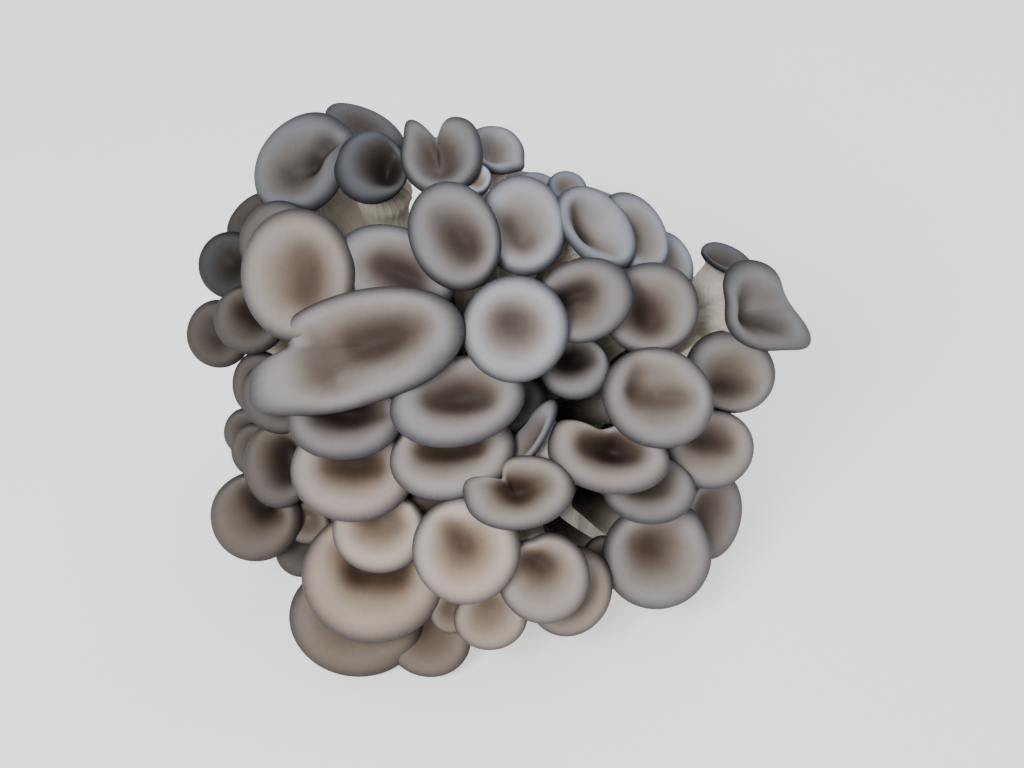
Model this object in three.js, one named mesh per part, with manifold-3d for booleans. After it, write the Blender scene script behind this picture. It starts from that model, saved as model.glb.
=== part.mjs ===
// A cluster of grey oyster mushrooms as it is picked: some eighty mushrooms on curved stems that run
// together into one clump, cut flat by the knife. Millimetres, +Z up, +Y away from the viewer.
// The cluster stands on the cut, with the origin in the middle of the cut face.
//
// Each mushroom is one body: a dished cap with a rolled margin, gills that run down under it, and its
// stem. Neighbours that grew from the same point on the clump are one body with several caps.
// The caps that the picture shows are placed as they are seen from the front and above, and those on
// the far side stand in rows that carry the same dome round the back.

import * as THREE from "three";
import Module from "manifold-3d";

const wasm = await Module();
wasm.setup();

// How the picture is looked at: a long view from the front, 40 degrees above the table.
const MM_PER_PIXEL = 0.42;
const PICTURE_MIDDLE = [512, 384];
const VIEW_ELEVATION = THREE.MathUtils.degToRad(40);
const VIEW_DISTANCE = 900;
const VIEW_TARGET = new THREE.Vector3(9, 0, 66);
const RIGHT = new THREE.Vector3(1, 0, 0);
const UP = new THREE.Vector3(0, Math.sin(VIEW_ELEVATION), Math.cos(VIEW_ELEVATION));
const TOWARD = new THREE.Vector3(0, -Math.cos(VIEW_ELEVATION), Math.sin(VIEW_ELEVATION));
const EYE = VIEW_TARGET.clone().addScaledVector(TOWARD, VIEW_DISTANCE);

// The dome that the seen caps lie on, as nearness to the viewer over the picture, in mm.
const DOME_POLE = [480, 300];
const DOME_NEAR = 85;
const DOME_EDGE = -20;
const DOME_REACH = { side: 150, above: 80, below: 230 };
const DOME_TILT = 0.4;
const MOST_TILT = 0.5;

// The dome of the far side: an ellipsoid round this middle, with sprays that fan out over these angles.
// Each row of caps on it grows in the sprays that it names.
const BACK_MIDDLE = new THREE.Vector3(0, 0, 52);
const BACK_REACH = new THREE.Vector3(106, 94, 104);
const BACK_SPRAYS = 9;
const BACK_FROM = 14;
const BACK_TO = 158;
const BACK_STAGGER = 7;
const BACK_HALF = [21, 18];
const BACK_NAVEL = 3;
const BACK_DISH = 5;
const BACK_STALK = 5.5;
const BACK_SIDES = 12;
const BACK_UPWARD = 0.55;
const BACK_SPREAD = { azimuth: 2, elevation: 3, half: 0.14, navel: 2, turn: 40, dish: 1.5, stalk: 0.8 };
const BACK_ROWS = [
  { elevation: -8, scale: 1, sprays: [0, 1, 2, 3, 4, 5, 6, 7, 8] },
  { elevation: 19, scale: 1.05, sprays: [0, 1, 2, 3, 4, 5, 6, 7, 8] },
  { elevation: 46, scale: 1, sprays: [2, 4] },
];

// The clump of grown-together stem ends: a lumpy ellipsoid cut flat at the table.
const CLUMP_MIDDLE = new THREE.Vector3(0, 0, 38);
const CLUMP_SIDE = 58;
const CLUMP_TOP = 46;
const CLUMP_BELOW = 88;
const CLUMP_LUMP = 0.035;
const CLUMP_SIDES = 20;
const CLUMP_RINGS = 6;
const ROOT_SINK = 6;

// A mushroom's own form. Shares are of the way from the middle of the dish to the margin.
const USUAL_HALF = 20;
const USUAL_STALK = 6;
const CREST = 0.8;
const MARGIN_ROLL = 4;
const THICKNESS = 7;
const GILL_SHARE = 0.6;
const GILL_DEPTH = 1.6;
const GILL_DROP = 5.25;
const NECK_DROP = 9;
const STEM_PULL = 0.42;
const STEM_STEPS = [0.5, 1];
const STEM_FLARE = { neck: 1.45, middle: 1, root: 0.8 };
const SIDES_FOR_DISH_RING = 20;
const GAP = 0.35;
const GROWING_ROUNDS = 25;
const MOST_GROWN = 4;

// What no two caps share: how much their outlines and tops wave.
const SEED = 20417;
const OUTLINE_WAVE = 0.02;
const TOP_WAVE = 1.1;
const WAVE_WIDTH = 32;

// One mushroom as it is seen: the middle of its cap and of its dish in the picture's pixels, the half
// sizes of its outline in mm, how far the outline is turned, and what is its own.
function head(at, half, turn, navel, own = {}) {
  const usual = { lift: 0, lean: [0, 0], dish: 5, stalk: USUAL_STALK, sides: 14, bumps: [], folds: [] };
  return { at, half, turn, navel, ...usual, ...own };
}

// Bumps are [angle, share, width]: the outline stands out by that share there, or is notched.
// Folds are [angle, drop, width]: the top sinks towards the margin there by so many mm, or is raised.
const SEEN = {
  crown_1: [
    head([299, 160], [23.2, 17.8], 50, [291, 171], {
      lift: 6, lean: [-8, -8], dish: 6, stalk: 9, sides: 20, folds: [[38, 6, 22], [-15, -3, 25]],
    }),
  ],
  crown_2: [
    head([372, 163], [15, 14.5], 0, [386, 160], {
      lift: 1, lean: [-2, 14], dish: 10, stalk: 8, sides: 18, folds: [[35, 4, 25]],
    }),
  ],
  crown_3: [head([363, 124], [17.5, 8], -22, [360, 126], { lift: -6, lean: [30, 0], dish: 3, stalk: 5 })],
  crown_4: [
    head([441, 152], [16.5, 16], 0, [438, 164], {
      lift: 4, lean: [-10, 0], dish: 6, sides: 20,
      bumps: [[106, -0.42, 14], [130, 0.26, 18], [50, 0.1, 25]], folds: [[104, 6, 22]],
    }),
  ],
  crown_5: [
    head([496, 146], [12.2, 9], -22, [490, 152], {
      lift: -12, lean: [15, 5], dish: 4, stalk: 5, bumps: [[-38, 0.14, 14]],
    }),
    head([474, 177], [7, 6.5], 0, [478, 180], { lift: -12, lean: [5, 0], dish: 2, stalk: 3, sides: 12 }),
  ],
  crown_6: [head([454, 233], [21.6, 17.3], 112, [463, 240], { lift: 6, stalk: 7, sides: 18 })],
  crown_7: [
    head([523, 222], [19.6, 17.2], 100, [522, 234], {
      lift: -3, lean: [2, 0], stalk: 7, sides: 16,
    }),
  ],
  crown_8: [
    head([599, 226], [19.4, 13], 133, [592, 224], {
      lift: -6, lean: [5, 18], dish: 9, sides: 16, folds: [[215, -3, 40]],
    }),
  ],
  crown_9: [
    head([537, 193], [11.5, 9.5], -20, [538, 196], {
      lift: -18, lean: [18, 5], dish: 3, stalk: 4, sides: 12,
    }),
    head([568, 185], [8, 6.5], -15, [568, 188], {
      lift: -14, lean: [18, 10], dish: 2, stalk: 3.5, sides: 12,
    }),
  ],
  crown_10: [
    head([637, 231], [17.8, 12], 122, [643, 240], { lift: -12, lean: [2, 12], stalk: 5 }),
    head([671, 262], [13.5, 9.5], 115, [668, 266], {
      lift: -25, lean: [0, 20], dish: 3, stalk: 4, sides: 12,
    }),
  ],
  right_1: [
    head([765, 308], [19.5, 15.5], -38, [757, 314], {
      lift: 6, lean: [0, 18], dish: 7, stalk: 6.5, sides: 20,
      bumps: [[-36, 0.28, 22], [38, -0.22, 28], [100, 0.14, 28], [178, -0.26, 38]],
      folds: [[10, 4, 22], [75, -3, 25], [-60, -2, 25]],
    }),
    head([728, 256], [11.5, 5], -25, [717, 258], {
      lift: -6, lean: [42, -8], dish: 3, stalk: 5.5, sides: 18,
    }),
  ],
  right_2: [head([734, 372], [18.2, 16.5], -20, [728, 380], { lift: -6, dish: 4 })],
  right_3: [head([713, 449], [18, 16], 0, [712, 438], { lift: -6, lean: [5, 3], dish: 4.5, sides: 16 })],
  right_4: [head([716, 516], [18.5, 12], 80, [706, 508], { lift: -16, lean: [0, 15], dish: 4, stalk: 5 })],
  right_5: [head([651, 487], [18.6, 13.8], -5, [650, 478], { lift: -5, lean: [22, 0] })],
  right_6: [
    head([660, 558], [21.8, 21.4], 0, [654, 545], {
      lift: -10, lean: [4, 0], stalk: 7, sides: 18, bumps: [[55, 0.1, 18]],
    }),
  ],
  middle_1: [head([653, 308], [19, 18], 20, [650, 318], { dish: 6, stalk: 7, sides: 16 })],
  middle_2: [head([585, 300], [19.5, 16], 20, [572, 304], { lift: 4, dish: 6, stalk: 6.5, sides: 16 })],
  middle_3: [head([516, 329], [20.6, 20.4], 0, [514, 325], { lift: 8, stalk: 7, sides: 18 })],
  middle_4: [
    head([661, 397], [21.9, 19.3], -20, [661, 392], { lift: 9, lean: [6, 0], dish: 7, stalk: 7, sides: 18 }),
  ],
  middle_5: [head([576, 366], [13.7, 12], 0, [574, 355], { lift: -12, lean: [22, 0], stalk: 5 })],
  middle_6: [
    head([352, 350], [42.2, 22.8], 16, [372, 342], {
      lift: 10, lean: [6, -8], dish: 8, stalk: 10, sides: 26,
      bumps: [[161, -0.22, 14], [221, 0.14, 18], [-70, -0.09, 28]],
      folds: [[161, 6, 20]],
    }),
  ],
  left_1: [head([295, 274], [26.2, 22.3], 95, [303, 276], { lift: 6, stalk: 8, sides: 20 })],
  middle_7: [head([394, 270], [24.5, 17.2], -22, [400, 272], { lift: -5, stalk: 7, sides: 16 })],
  middle_8: [
    head([610, 453], [23.8, 14.6], -10, [614, 443], {
      lift: 2, lean: [22, 0], dish: 9, stalk: 7, sides: 18,
      bumps: [[95, -0.25, 22], [135, 0.1, 20]], folds: [[95, 4, 25], [140, -3, 25]],
    }),
  ],
  middle_9: [
    head([457, 398], [26.2, 17], 12, [460, 390], { lift: 6, lean: [22, 0], dish: 7, stalk: 7, sides: 18 }),
    head([503, 403], [17, 12], 15, [500, 400], { lift: -14, lean: [12, 0], dish: 4, stalk: 5, sides: 12 }),
  ],
  middle_10: [
    head([452, 451], [24.6, 17.6], 14, [450, 438], {
      lift: -3, lean: [20, 0], dish: 8, stalk: 7, sides: 16,
    }),
  ],
  middle_11: [
    head([527, 437], [17.5, 5], 57, [530, 436], {
      lift: -8, lean: [34, -50], dish: 3, stalk: 5.5, sides: 16,
    }),
  ],
  left_2: [
    head([274, 237], [16, 15], 40, [280, 245], { lift: -8, lean: [0, -4], dish: 4, stalk: 5.5 }),
    head([256, 216], [14.5, 8.8], 36, [257, 217], {
      lift: -18, lean: [5, -8], dish: 3, stalk: 4.5, sides: 12,
    }),
  ],
  left_3: [
    head([228, 264], [13.5, 13.4], 90, [229, 262], {
      lift: -14, lean: [0, -5], dish: 4.5, stalk: 5,
    }),
  ],
  left_4: [head([246, 319], [14.5, 14], 0, [250, 312], { lift: -10, lean: [4, -6], dish: 4.5, stalk: 5 })],
  left_5: [head([215, 333], [13.2, 14], 0, [216, 330], { lift: -20, lean: [4, -8], dish: 4, stalk: 5 })],
  left_6: [
    head([276, 396], [15.5, 14.5], -30, [280, 390], {
      lift: -6, lean: [5, -4], dish: 3, stalk: 5, sides: 12,
    }),
    head([257, 384], [13.2, 11], 90, [260, 384], { lift: -18, lean: [0, -6], dish: 3, stalk: 5, sides: 12 }),
  ],
  left_7: [head([275, 465], [17.3, 14], 90, [284, 456], { lift: -4, lean: [4, -8], dish: 6 })],
  left_8: [
    head([244, 433], [9.4, 10.2], 0, [246, 432], { lift: -24, lean: [0, -8], dish: 3, stalk: 4, sides: 12 }),
    head([252, 450], [9.5, 11], 0, [255, 448], { lift: -16, lean: [0, -8], dish: 3, stalk: 4, sides: 12 }),
  ],
  left_9: [head([251, 518], [18.3, 18.2], 0, [257, 504], { lift: -4, lean: [0, -4], dish: 4.5, sides: 16 })],
  left_10: [
    head([304, 523], [10.5, 8.5], -20, [306, 518], {
      lift: -14, lean: [5, 0], dish: 3, stalk: 4, sides: 12,
    }),
    head([300, 552], [10.5, 11], 0, [304, 545], { lift: -18, lean: [-4, -4], dish: 3, stalk: 4, sides: 12 }),
  ],
  front_1: [
    head([343, 416], [22.2, 16], 5, [345, 408], {
      lift: 5, lean: [22, 0], dish: 7, stalk: 7, sides: 16,
    }),
  ],
  front_2: [
    head([350, 468], [24.3, 20], 0, [352, 457], { lift: 0, lean: [17, 0], dish: 6, stalk: 7, sides: 16 }),
  ],
  front_3: [
    head([378, 530], [18.5, 16.5], 0, [382, 520], { lift: -3, lean: [14, 0], sides: 14 }),
    head([429, 526], [14.5, 15.5], 0, [434, 516], { lift: -14, lean: [5, 0], dish: 4, stalk: 5, sides: 12 }),
  ],
  front_4: [
    head([371, 575], [28.6, 26.3], 0, [380, 558], {
      lift: -6, lean: [13, 0], dish: 7, stalk: 8, sides: 20,
    }),
  ],
  front_5: [
    head([520, 491], [21.2, 14.2], 8, [516, 488], {
      lift: 6, lean: [18, 0], dish: 6, sides: 20, bumps: [[130, -0.44, 14], [160, 0.12, 15]],
      folds: [[131, 3, 24]],
    }),
  ],
  front_6: [head([466, 551], [20.9, 20.9], 0, [462, 544], { lift: 8, lean: [3, 0], stalk: 7, sides: 16 })],
  front_7: [
    head([545, 580], [18, 18], 0, [541, 565], {
      lift: 4, dish: 4.5, sides: 16, bumps: [[108, -0.1, 16]],
    }),
  ],
  skirt_1: [head([353, 622], [27, 23], -8, [354, 610], { lift: -11, lean: [4, 0], dish: 4.5, sides: 16 })],
  skirt_2: [
    head([428, 641], [17, 15.5], -10, [430, 630], { lift: -14, dish: 4, stalk: 5 }),
    head([450, 613], [8, 8.5], 0, [452, 608], { lift: -8, dish: 2.5, stalk: 3.5, sides: 12 }),
  ],
  skirt_3: [head([491, 619], [14.5, 13], 10, [492, 607], { lift: -4, dish: 4, stalk: 5 })],
  skirt_4: [
    head([571, 593], [18.5, 16.5], 60, [572, 585], { lift: -10, dish: 4, stalk: 5 }),
    head([604, 565], [9, 11.5], 0, [604, 560], { lift: -24, dish: 2.5, stalk: 3.5, sides: 12 }),
  ],
};

const radians = THREE.MathUtils.degToRad;
const clamp = THREE.MathUtils.clamp;

// A repeatable run of numbers from -1 to 1.
let drawn = SEED;
function vary(amount) {
  drawn = (drawn * 16807) % 2147483647;
  return amount * ((2 * drawn) / 2147483647 - 1);
}

// The cap with small waves of its own in its outline and its top.
function waved(cap) {
  const bump = [vary(180), vary(OUTLINE_WAVE), WAVE_WIDTH];
  const folds = [0, 1].map(() => [vary(180), vary(TOP_WAVE), WAVE_WIDTH]);
  return { ...cap, bumps: [...cap.bumps, bump], folds: [...cap.folds, ...folds] };
}

// The point that the viewer sees at a pixel, so many mm nearer than the plane through the target.
function seenPoint([x, y], near) {
  const scale = (MM_PER_PIXEL * (VIEW_DISTANCE - near)) / VIEW_DISTANCE;
  return VIEW_TARGET.clone()
    .addScaledVector(RIGHT, (x - PICTURE_MIDDLE[0]) * scale)
    .addScaledVector(UP, (PICTURE_MIDDLE[1] - y) * scale)
    .addScaledVector(TOWARD, near);
}

// How near the dome is to the viewer at a pixel, and how it slopes there to the right and upward.
function domeAt([x, y]) {
  const across = (x - DOME_POLE[0]) * MM_PER_PIXEL;
  const upward = (DOME_POLE[1] - y) * MM_PER_PIXEL;
  const reach = upward > 0 ? DOME_REACH.above : DOME_REACH.below;
  const share = Math.min(0.9, (across / DOME_REACH.side) ** 2 + (upward / reach) ** 2);
  const rise = Math.sqrt(1 - share);
  const height = DOME_NEAR - DOME_EDGE;
  return {
    near: DOME_EDGE + height * rise,
    slope: [(height * across) / DOME_REACH.side ** 2 / rise, (height * upward) / reach ** 2 / rise],
  };
}

// Where a seen cap stands: its middle, the way its top faces, and the two steps in its plane that look
// like one mm to the right and one mm upward from the front.
function seenPlace(cap) {
  const dome = domeAt(cap.at);
  const middle = seenPoint(cap.at, dome.near + cap.lift);
  const tilt = dome.slope.map((s) => clamp(s * DOME_TILT, -MOST_TILT, MOST_TILT));
  const up = Math.atan(tilt[1]) + radians(cap.lean[0]);
  const right = Math.atan(tilt[0]) + radians(cap.lean[1]);
  const facing = TOWARD.clone()
    .addScaledVector(RIGHT, Math.tan(right))
    .addScaledVector(UP, Math.tan(up))
    .normalize();
  const ray = middle.clone().sub(EYE).normalize();
  const inPlane = (step) => step.clone().addScaledVector(ray, -facing.dot(step) / facing.dot(ray));
  const navel = [cap.navel[0] - cap.at[0], cap.at[1] - cap.navel[1]].map((d) => d * MM_PER_PIXEL);
  return waved({ ...cap, middle, facing, across: inPlane(RIGHT), along: inPlane(UP), navel });
}

// The sprays of the far side: in each, one cap of every row that grows there.
function backSprays() {
  const step = (BACK_TO - BACK_FROM) / (BACK_SPRAYS - 1);
  const sprays = {};
  for (let i = 0; i < BACK_SPRAYS; i++) {
    const rows = BACK_ROWS.filter((row) => row.sprays.includes(i));
    sprays[`back_${i + 1}`] = rows.map((row) => {
      const azimuth = radians(BACK_FROM + i * step + vary(BACK_SPREAD.azimuth));
      const elevation = radians(row.elevation + vary(BACK_SPREAD.elevation));
      const outward = new THREE.Vector3(
        Math.cos(elevation) * Math.cos(azimuth),
        Math.cos(elevation) * Math.sin(azimuth),
        Math.sin(elevation),
      );
      const middle = BACK_MIDDLE.clone().add(outward.clone().multiply(BACK_REACH));
      middle.addScaledVector(outward, i % 2 ? -BACK_STAGGER : 0);
      const facing = outward.clone().add(new THREE.Vector3(0, 0, BACK_UPWARD)).normalize();
      const across = new THREE.Vector3(0, 0, 1).cross(facing).normalize();
      const along = facing.clone().cross(across);
      const half = BACK_HALF.map((size) => size * row.scale * (1 + vary(BACK_SPREAD.half)));
      const navel = [vary(BACK_SPREAD.navel), BACK_NAVEL + vary(BACK_SPREAD.navel)];
      const turn = vary(BACK_SPREAD.turn);
      const dish = BACK_DISH + vary(BACK_SPREAD.dish);
      const stalk = BACK_STALK + vary(BACK_SPREAD.stalk);
      const own = { turn, dish, stalk, sides: BACK_SIDES, bumps: [], folds: [] };
      return waved({ middle, facing, across, along, half, navel, ...own });
    });
  }
  return sprays;
}

// The sum at an angle of [angle, amount, width] rises.
function risesAt(rises, angle) {
  let sum = 0;
  for (const [at, amount, width] of rises) {
    const off = THREE.MathUtils.euclideanModulo(THREE.MathUtils.radToDeg(angle) - at + 180, 360) - 180;
    sum += amount * Math.exp(-((off / width) ** 2));
  }
  return sum;
}

// The outline at an angle round the cap's middle, as [across, along] in its plane. Its corners stand
// out as far as its sides stand in, so that it covers what the round outline would.
function outline(cap, angle) {
  const step = (2 * Math.PI) / cap.sides;
  const share = (1 + risesAt(cap.bumps, angle)) * Math.sqrt(step / Math.sin(step));
  const turn = radians(cap.turn);
  const [x, y] = [cap.half[0] * Math.cos(angle - turn), cap.half[1] * Math.sin(angle - turn)];
  return [
    share * (x * Math.cos(turn) - y * Math.sin(turn)),
    share * (x * Math.sin(turn) + y * Math.cos(turn)),
  ];
}

// How high the top stands over the cap's plane at an angle and a share of the way to the margin.
function topHeight(cap, angle, share) {
  const size = Math.min(...cap.half) / USUAL_HALF;
  const inner = clamp(share / CREST, 0, 1);
  const outer = clamp((share - CREST) / (1 - CREST), 0, 1);
  const dish = cap.dish * (1 - inner * inner * (3 - 2 * inner));
  return -dish - MARGIN_ROLL * size * outer * outer - risesAt(cap.folds, angle) * share * share;
}

// A point of the cap, so far out and so high over its plane.
function capPoint(cap, angle, share, height) {
  const [x, y] = outline(cap, angle);
  return cap.middle
    .clone()
    .addScaledVector(cap.across, cap.navel[0] + share * (x - cap.navel[0]))
    .addScaledVector(cap.along, cap.navel[1] + share * (y - cap.navel[1]))
    .addScaledVector(cap.facing, height);
}

// The way from the middle of the clump out to its skin, in one direction.
function clumpReach(direction) {
  const flat = Math.hypot(direction.x, direction.y);
  const upright = direction.z > 0 ? CLUMP_TOP : CLUMP_BELOW;
  const azimuth = Math.atan2(direction.y, direction.x);
  const lump = 1 + CLUMP_LUMP * flat * (Math.cos(5 * azimuth + 1) + Math.cos(3 * azimuth));
  return lump / Math.hypot(flat / CLUMP_SIDE, direction.z / upright);
}

// Where a stem's neck is: under the dish, along the cap's own axis.
function neckOf(cap) {
  const drop = cap.dish + THICKNESS / 2 + NECK_DROP * (cap.stalk / USUAL_STALK);
  return capPoint(cap, 0, 0, -drop);
}

// The point inside the clump's skin that a spray's stems run to: in the middle of the spray, and as low
// as its lowest cap.
function rootOf(caps) {
  const ways = caps.map((cap) => neckOf(cap).sub(CLUMP_MIDDLE).normalize());
  const direction = ways.reduce((sum, way) => sum.add(way), new THREE.Vector3()).normalize();
  direction.z = Math.min(...ways.map((way) => way.z));
  direction.normalize();
  return CLUMP_MIDDLE.clone().addScaledVector(direction, clumpReach(direction) - ROOT_SINK);
}

function stemCurve(cap, root) {
  const neck = neckOf(cap);
  const pull = neck.distanceTo(root) * STEM_PULL;
  const inward = CLUMP_MIDDLE.clone().sub(root).normalize();
  return new THREE.CubicBezierCurve3(
    neck,
    neck.clone().addScaledVector(cap.facing, -pull),
    root.clone().addScaledVector(inward, -pull),
    root,
  );
}

// A ring of points square to a stem, turned from the cap's plane by the least turn.
function stemRing(cap, curve, at, radius, sides) {
  const middle = curve.getPoint(at);
  const turn = new THREE.Quaternion().setFromUnitVectors(cap.facing.clone().negate(), curve.getTangent(at));
  const side = cap.across.clone().addScaledVector(cap.facing, -cap.across.dot(cap.facing)).normalize();
  const other = cap.facing.clone().cross(side);
  return Array.from({ length: sides }, (_, i) => {
    const angle = (i / sides) * 2 * Math.PI;
    const spoke = side.clone().multiplyScalar(Math.cos(angle)).addScaledVector(other, Math.sin(angle));
    return spoke.applyQuaternion(turn).multiplyScalar(radius).add(middle);
  });
}

// A closed skin over rings of points, from one end point to another. Rings have the same number of
// points as the one before, or half of it.
function skin(start, rings, end) {
  const points = [start, ...rings.flat(), end];
  const faces = [];
  let first = 1;
  rings.forEach((ring, k) => {
    const count = ring.length;
    const next = first + count;
    for (let i = 0; i < count; i++) {
      const j = (i + 1) % count;
      if (k === 0) faces.push([0, first + i, first + j]);
      if (k === rings.length - 1) {
        faces.push([first + j, first + i, points.length - 1]);
      } else if (rings[k + 1].length === count) {
        faces.push([first + i, next + i, next + j], [first + i, next + j, first + j]);
      } else if (i % 2 === 0) {
        const [a, b] = [next + i / 2, next + ((i / 2 + 1) % (count / 2))];
        const after = first + ((i + 2) % count);
        faces.push([first + i, a, first + j], [first + j, a, b], [first + j, b, after]);
      }
    }
    first = next;
  });
  return meshOf(points, faces);
}

function meshOf(points, faces) {
  return new THREE.BufferGeometry().setFromPoints(points).setIndex(faces.flat());
}

// The mushroom: down over its top from the middle of the dish, in under the gills and down the stem.
function mushroom(cap, root) {
  const sides = cap.sides;
  const ring = (share, below = () => 0) =>
    Array.from({ length: sides }, (_, i) => {
      const angle = (i / sides) * 2 * Math.PI;
      return capPoint(cap, angle, share, topHeight(cap, angle, share) - below(i));
    });
  const curve = stemCurve(cap, root);
  const { neck, middle, root: end } = STEM_FLARE;
  const rings = [
    ...(sides < SIDES_FOR_DISH_RING ? [] : [ring(CREST / 2)]),
    ring(CREST),
    ring(1),
    ring(GILL_SHARE, (i) => GILL_DROP + (i % 2 ? GILL_DEPTH : -GILL_DEPTH) / 2),
    stemRing(cap, curve, 0, cap.stalk * neck, sides),
    ...STEM_STEPS.map((at) => stemRing(cap, curve, at, cap.stalk * (at < 1 ? middle : end), sides / 2)),
  ];
  return skin(capPoint(cap, 0, 0, -cap.dish), rings, root);
}

// The clump, ring by ring from its top down to the cut.
function clump(grown = 0) {
  const cutAngle = -Math.asin(CLUMP_MIDDLE.z / CLUMP_BELOW);
  const top = CLUMP_MIDDLE.clone().add(new THREE.Vector3(0, 0, CLUMP_TOP + grown));
  const rings = [];
  for (let k = 1; k <= CLUMP_RINGS; k++) {
    const elevation = Math.PI / 2 + (cutAngle - Math.PI / 2) * (k / CLUMP_RINGS);
    const last = k === CLUMP_RINGS;
    rings.push(
      Array.from({ length: CLUMP_SIDES }, (_, i) => {
        const azimuth = (i / CLUMP_SIDES) * 2 * Math.PI;
        const direction = new THREE.Vector3(
          Math.cos(elevation) * Math.cos(azimuth),
          Math.cos(elevation) * Math.sin(azimuth),
          Math.sin(elevation),
        );
        const point = CLUMP_MIDDLE.clone().addScaledVector(direction, clumpReach(direction) + grown);
        if (last) point.z = -grown;
        return point;
      }),
    );
  }
  return skin(top, rings, new THREE.Vector3(0, 0, -grown));
}

// The same mesh with every point moved until each face that meets there stands out by the amount.
function grownBy(geometry, amount) {
  const { position } = geometry.attributes;
  const index = geometry.index;
  const facing = Array.from({ length: position.count }, () => []);
  const face = new THREE.Triangle();
  for (let i = 0; i < index.count; i += 3) {
    const corners = [0, 1, 2].map((k) => index.getX(i + k));
    face.setFromAttributeAndIndices(position, ...corners);
    for (const corner of corners) facing[corner].push(face.getNormal(new THREE.Vector3()));
  }
  const grown = geometry.clone();
  const point = new THREE.Vector3();
  facing.forEach((normals, i) => {
    const move = new THREE.Vector3();
    for (let round = 0; round < GROWING_ROUNDS; round++) {
      for (const normal of normals) {
        const lack = amount - move.dot(normal);
        if (lack > 0) move.addScaledVector(normal, lack);
      }
    }
    point.fromBufferAttribute(position, i).add(move.clampLength(0, MOST_GROWN * amount));
    grown.attributes.position.setXYZ(i, point.x, point.y, point.z);
  });
  return grown;
}

function solidOf(geometry) {
  return new wasm.Manifold(
    new wasm.Mesh({
      numProp: 3,
      vertProperties: new Float32Array(geometry.attributes.position.array),
      triVerts: new Uint32Array(geometry.index.array),
    }),
  );
}

function geometryOf(solid) {
  const mesh = solid.getMesh();
  const geometry = new THREE.BufferGeometry();
  geometry.setAttribute("position", new THREE.BufferAttribute(mesh.vertProperties, 3));
  geometry.setIndex(new THREE.BufferAttribute(mesh.triVerts, 1));
  return geometry;
}

function largestPiece(solid) {
  return solid.decompose().reduce((most, piece) => (piece.volume() > most.volume() ? piece : most));
}

const sprays = { ...SEEN };
for (const name in sprays) sprays[name] = sprays[name].map(seenPlace);
Object.assign(sprays, backSprays());

// Each spray keeps clear of the clump and of those before it, as stems that grow side by side press
// each other flat.
const taken = [solidOf(clump(GAP))];
const solids = {};
for (const [name, caps] of Object.entries(sprays)) {
  const root = rootOf(caps);
  const meshes = caps.map((cap) => mushroom(cap, root));
  const whole = meshes.map(solidOf).reduce((all, one) => all.add(one));
  const room = meshes.map((mesh) => solidOf(grownBy(mesh, GAP))).reduce((all, one) => all.add(one));
  solids[name] = largestPiece(taken.reduce((left, other) => left.subtract(other), whole));
  taken.push(room);
}

const flesh = new THREE.MeshStandardMaterial({ color: 0x958c85, roughness: 0.6, metalness: 0 });
const clumpFlesh = new THREE.MeshStandardMaterial({ color: 0xcfc6b4, roughness: 0.8, metalness: 0 });

const cluster = new THREE.Group();
function add(name, geometry, material) {
  const mesh = new THREE.Mesh(geometry, material);
  mesh.name = name;
  cluster.add(mesh);
}
add("clump", clump(), clumpFlesh);
for (const name in solids) add(`mushroom_${name}`, geometryOf(solids[name]), flesh);

export default cluster;
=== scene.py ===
"""A cluster of grey oyster mushrooms on a pale table: fine mushrooms in the places of the faceted ones.

Lengths in the tables are millimetres. Meshes are made in metres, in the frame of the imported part.
"""

import math

import bpy
import numpy as np
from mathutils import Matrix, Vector


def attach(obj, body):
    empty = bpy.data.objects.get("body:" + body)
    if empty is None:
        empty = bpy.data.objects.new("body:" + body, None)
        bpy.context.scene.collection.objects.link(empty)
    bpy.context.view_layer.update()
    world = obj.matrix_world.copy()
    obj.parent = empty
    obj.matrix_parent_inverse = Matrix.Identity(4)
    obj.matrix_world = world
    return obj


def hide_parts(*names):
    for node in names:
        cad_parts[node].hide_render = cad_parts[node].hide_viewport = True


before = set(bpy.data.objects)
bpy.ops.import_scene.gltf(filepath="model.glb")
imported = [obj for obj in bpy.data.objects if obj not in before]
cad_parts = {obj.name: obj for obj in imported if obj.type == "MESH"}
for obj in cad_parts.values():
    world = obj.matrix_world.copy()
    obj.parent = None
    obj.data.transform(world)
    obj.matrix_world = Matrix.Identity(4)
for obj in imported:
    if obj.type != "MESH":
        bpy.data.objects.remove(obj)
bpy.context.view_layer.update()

MM = 0.001

# How the picture is looked at: a long view from the front, 40 degrees above the table.
MM_PER_PIXEL = 0.42
PICTURE_WIDTH = 1024
PICTURE_MIDDLE = (512, 384)
SENSOR_WIDTH = 36
VIEW_ELEVATION = math.radians(40)
VIEW_DISTANCE = 900
VIEW_TARGET = np.array([9.0, 0.0, 66.0])
RIGHT = np.array([1.0, 0.0, 0.0])
UP = np.array([0.0, math.sin(VIEW_ELEVATION), math.cos(VIEW_ELEVATION)])
TOWARD = np.array([0.0, -math.cos(VIEW_ELEVATION), math.sin(VIEW_ELEVATION)])
EYE = VIEW_TARGET + TOWARD * VIEW_DISTANCE

# The dome that the seen caps lie on, as nearness to the viewer over the picture.
DOME_POLE = (480, 300)
DOME_NEAR = 85
DOME_EDGE = -20
DOME_SIDE = 150
DOME_ABOVE = 80
DOME_BELOW = 230
DOME_STEEPEST = 0.9
DOME_TILT = 0.4
MOST_TILT = 0.5

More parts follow.
